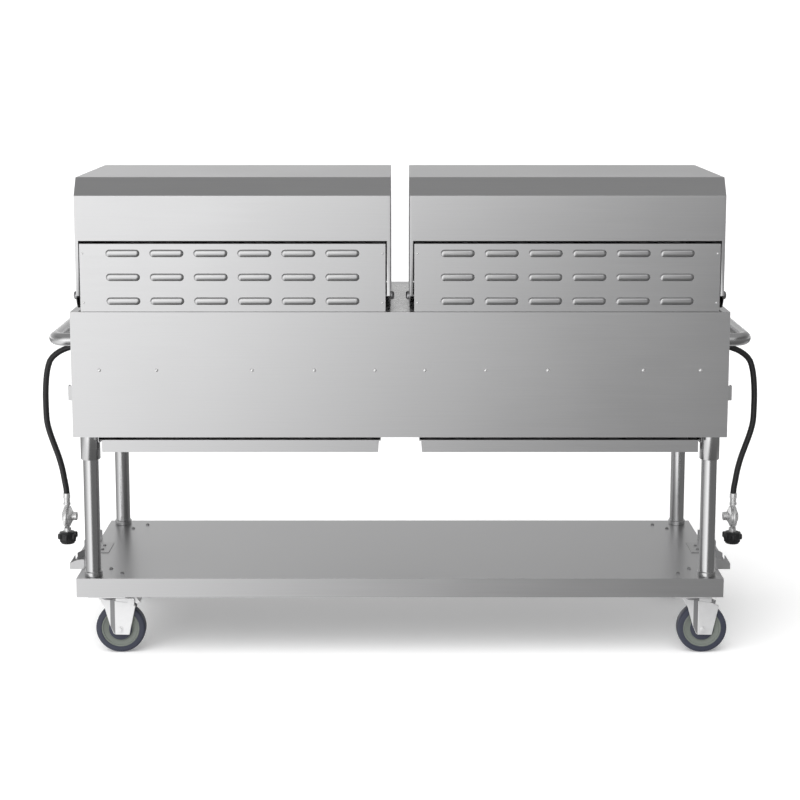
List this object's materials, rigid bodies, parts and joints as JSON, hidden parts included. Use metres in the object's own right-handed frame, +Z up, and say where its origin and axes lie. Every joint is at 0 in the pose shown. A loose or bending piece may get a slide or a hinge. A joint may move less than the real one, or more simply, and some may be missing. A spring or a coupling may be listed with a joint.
{
  "type": "gas grill",
  "caption": "Mobile gas grill with two hooded fireboxes, drip trays, knobs, undershelf, push handles, swivel casters and a gas hose with regulator at each end.",
  "frame": {"origin": "on the floor under the middle of the grill, without its hoses", "axes": "+Z up, +X along the body towards the operator's right, -Y towards the operator; the rear panel faces +Y"},
  "size_m": [1.8604, 0.6008, 1.2017],
  "materials": {
    "stainless_sheet": "brushed along the length",
    "steel_tube": "satin",
    "zinc_plate": "bright zinc",
    "burner_steel": "dull",
    "cast_grate": "seasoned",
    "brass": "satin",
    "regulator_alloy": "cast, satin",
    "black_plastic": "fine grain",
    "tyre": "satin",
    "hose_rubber": "satin"
  },
  "bodies": {
    "root": {"rear_panel": "stainless_sheet", "control_panel": "stainless_sheet", "center_bridge": "stainless_sheet", "undershelf": "stainless_sheet", "end_panel_left": "stainless_sheet", "firebox_left": "stainless_sheet", "burner_pair_1_left": "burner_steel", "burner_pair_2_left": "burner_steel", "radiant_left": "burner_steel", "manifold_left": "brass", "louver_panel_left": "stainless_sheet", "push_handle_left": "steel_tube", "leg_rear_left": "steel_tube", "leg_front_left": "steel_tube", "tank_bracket_left": "stainless_sheet", "caster_rail_left": "zinc_plate", "gas_hose_left": "hose_rubber", "regulator_left": "regulator_alloy", "end_panel_right": "stainless_sheet", "firebox_right": "stainless_sheet", "burner_pair_1_right": "burner_steel", "burner_pair_2_right": "burner_steel", "radiant_right": "burner_steel", "manifold_right": "brass", "louver_panel_right": "stainless_sheet", "push_handle_right": "steel_tube", "leg_rear_right": "steel_tube", "leg_front_right": "steel_tube", "tank_bracket_right": "stainless_sheet", "caster_rail_right": "zinc_plate", "gas_hose_right": "hose_rubber", "regulator_right": "regulator_alloy"},
    "hood_left": {"hood_left": "stainless_sheet", "hood_handle_left": "steel_tube"},
    "hood_right": {"hood_right": "stainless_sheet", "hood_handle_right": "steel_tube"},
    "knob_left_1": {"knob_left_1": "black_plastic"},
    "knob_left_2": {"knob_left_2": "black_plastic"},
    "knob_left_3": {"knob_left_3": "black_plastic"},
    "knob_left_4": {"knob_left_4": "black_plastic"},
    "knob_right_1": {"knob_right_1": "black_plastic"},
    "knob_right_2": {"knob_right_2": "black_plastic"},
    "knob_right_3": {"knob_right_3": "black_plastic"},
    "knob_right_4": {"knob_right_4": "black_plastic"},
    "drip_tray_left": {"drip_tray_left": "stainless_sheet"},
    "drip_tray_right": {"drip_tray_right": "stainless_sheet"},
    "grate_left": {"grate_left": "cast_grate"},
    "grate_right": {"grate_right": "cast_grate"},
    "caster_rear_left": {"caster_fork_rear_left": "zinc_plate"},
    "wheel_rear_left": {"caster_wheel_rear_left": "tyre"},
    "caster_front_left": {"caster_fork_front_left": "zinc_plate"},
    "wheel_front_left": {"caster_wheel_front_left": "tyre"},
    "caster_rear_right": {"caster_fork_rear_right": "zinc_plate"},
    "wheel_rear_right": {"caster_wheel_rear_right": "tyre"},
    "caster_front_right": {"caster_fork_front_right": "zinc_plate"},
    "wheel_front_right": {"caster_wheel_front_right": "tyre"},
    "brake_pedal_rear": {"brake_pedal_rear": "zinc_plate"},
    "brake_pedal_front": {"brake_pedal_front": "zinc_plate"},
    "hose_nut_left": {"hose_nut_left": "black_plastic"},
    "hose_nut_right": {"hose_nut_right": "black_plastic"}
  },
  "joints": [
    {"name": "hood_left_hinge", "type": "hinge", "parent": "root", "child": "hood_left", "pos_m": [-0.40575, 0.2745, 0.9136], "axis": [-1, 0, 0], "range_deg": [0, 90]},
    {"name": "hood_right_hinge", "type": "hinge", "parent": "root", "child": "hood_right", "pos_m": [0.40575, 0.2745, 0.9136], "axis": [-1, 0, 0], "range_deg": [0, 90]},
    {"name": "knob_left_1_turn", "type": "hinge", "parent": "root", "child": "knob_left_1", "pos_m": [-0.67136, -0.2515, 0.749], "axis": [0, -1, 0], "range_deg": [0, 200]},
    {"name": "knob_left_2_turn", "type": "hinge", "parent": "root", "child": "knob_left_2", "pos_m": [-0.49645, -0.2515, 0.749], "axis": [0, -1, 0], "range_deg": [0, 200]},
    {"name": "knob_left_3_turn", "type": "hinge", "parent": "root", "child": "knob_left_3", "pos_m": [-0.32155, -0.2515, 0.749], "axis": [0, -1, 0], "range_deg": [0, 200]},
    {"name": "knob_left_4_turn", "type": "hinge", "parent": "root", "child": "knob_left_4", "pos_m": [-0.14664, -0.2515, 0.749], "axis": [0, -1, 0], "range_deg": [0, 200]},
    {"name": "knob_right_1_turn", "type": "hinge", "parent": "root", "child": "knob_right_1", "pos_m": [0.14664, -0.2515, 0.749], "axis": [0, -1, 0], "range_deg": [0, 200]},
    {"name": "knob_right_2_turn", "type": "hinge", "parent": "root", "child": "knob_right_2", "pos_m": [0.32155, -0.2515, 0.749], "axis": [0, -1, 0], "range_deg": [0, 200]},
    {"name": "knob_right_3_turn", "type": "hinge", "parent": "root", "child": "knob_right_3", "pos_m": [0.49645, -0.2515, 0.749], "axis": [0, -1, 0], "range_deg": [0, 200]},
    {"name": "knob_right_4_turn", "type": "hinge", "parent": "root", "child": "knob_right_4", "pos_m": [0.67136, -0.2515, 0.749], "axis": [0, -1, 0], "range_deg": [0, 200]},
    {"name": "drip_tray_left_slide", "type": "slide", "parent": "root", "child": "drip_tray_left", "axis": [0, -1, 0], "range_m": [0, 0.4]},
    {"name": "drip_tray_right_slide", "type": "slide", "parent": "root", "child": "drip_tray_right", "axis": [0, -1, 0], "range_m": [0, 0.4]},
    {"name": "grate_left_lift", "type": "slide", "parent": "root", "child": "grate_left", "axis": [0, 0, 1], "range_m": [0, 0.08]},
    {"name": "grate_right_lift", "type": "slide", "parent": "root", "child": "grate_right", "axis": [0, 0, 1], "range_m": [0, 0.08]},
    {"name": "caster_rear_left_swivel", "type": "hinge", "parent": "root", "child": "caster_rear_left", "pos_m": [-0.733, 0.2485, 0.14], "axis": [0, 0, 1], "continuous": true},
    {"name": "wheel_rear_left_roll", "type": "hinge", "parent": "caster_rear_left", "child": "wheel_rear_left", "pos_m": [-0.7615, 0.2485, 0.06272], "axis": [0, 1, 0], "continuous": true},
    {"name": "caster_front_left_swivel", "type": "hinge", "parent": "root", "child": "caster_front_left", "pos_m": [-0.733, -0.1855, 0.14], "axis": [0, 0, 1], "continuous": true},
    {"name": "wheel_front_left_roll", "type": "hinge", "parent": "caster_front_left", "child": "wheel_front_left", "pos_m": [-0.7615, -0.1855, 0.06272], "axis": [0, 1, 0], "continuous": true},
    {"name": "caster_rear_right_swivel", "type": "hinge", "parent": "root", "child": "caster_rear_right", "pos_m": [0.733, 0.2485, 0.14], "axis": [0, 0, 1], "continuous": true},
    {"name": "wheel_rear_right_roll", "type": "hinge", "parent": "caster_rear_right", "child": "wheel_rear_right", "pos_m": [0.7045, 0.2485, 0.06272], "axis": [0, 1, 0], "continuous": true},
    {"name": "caster_front_right_swivel", "type": "hinge", "parent": "root", "child": "caster_front_right", "pos_m": [0.733, -0.1855, 0.14], "axis": [0, 0, 1], "continuous": true},
    {"name": "wheel_front_right_roll", "type": "hinge", "parent": "caster_front_right", "child": "wheel_front_right", "pos_m": [0.7045, -0.1855, 0.06272], "axis": [0, 1, 0], "continuous": true},
    {"name": "brake_pedal_rear_press", "type": "hinge", "parent": "caster_rear_right", "child": "brake_pedal_rear", "pos_m": [0.6735, 0.2485, 0.13822], "axis": [0, -1, 0], "range_deg": [0, 14]},
    {"name": "brake_pedal_front_press", "type": "hinge", "parent": "caster_front_right", "child": "brake_pedal_front", "pos_m": [0.6735, -0.1855, 0.13822], "axis": [0, -1, 0], "range_deg": [0, 14]},
    {"name": "hose_nut_left_turn", "type": "hinge", "parent": "root", "child": "hose_nut_left", "pos_m": [-0.8754, 0.039, 0.25], "axis": [0, 0, 1], "continuous": true},
    {"name": "hose_nut_right_turn", "type": "hinge", "parent": "root", "child": "hose_nut_right", "pos_m": [0.8754, 0.039, 0.25], "axis": [0, 0, 1], "continuous": true}
  ]
}
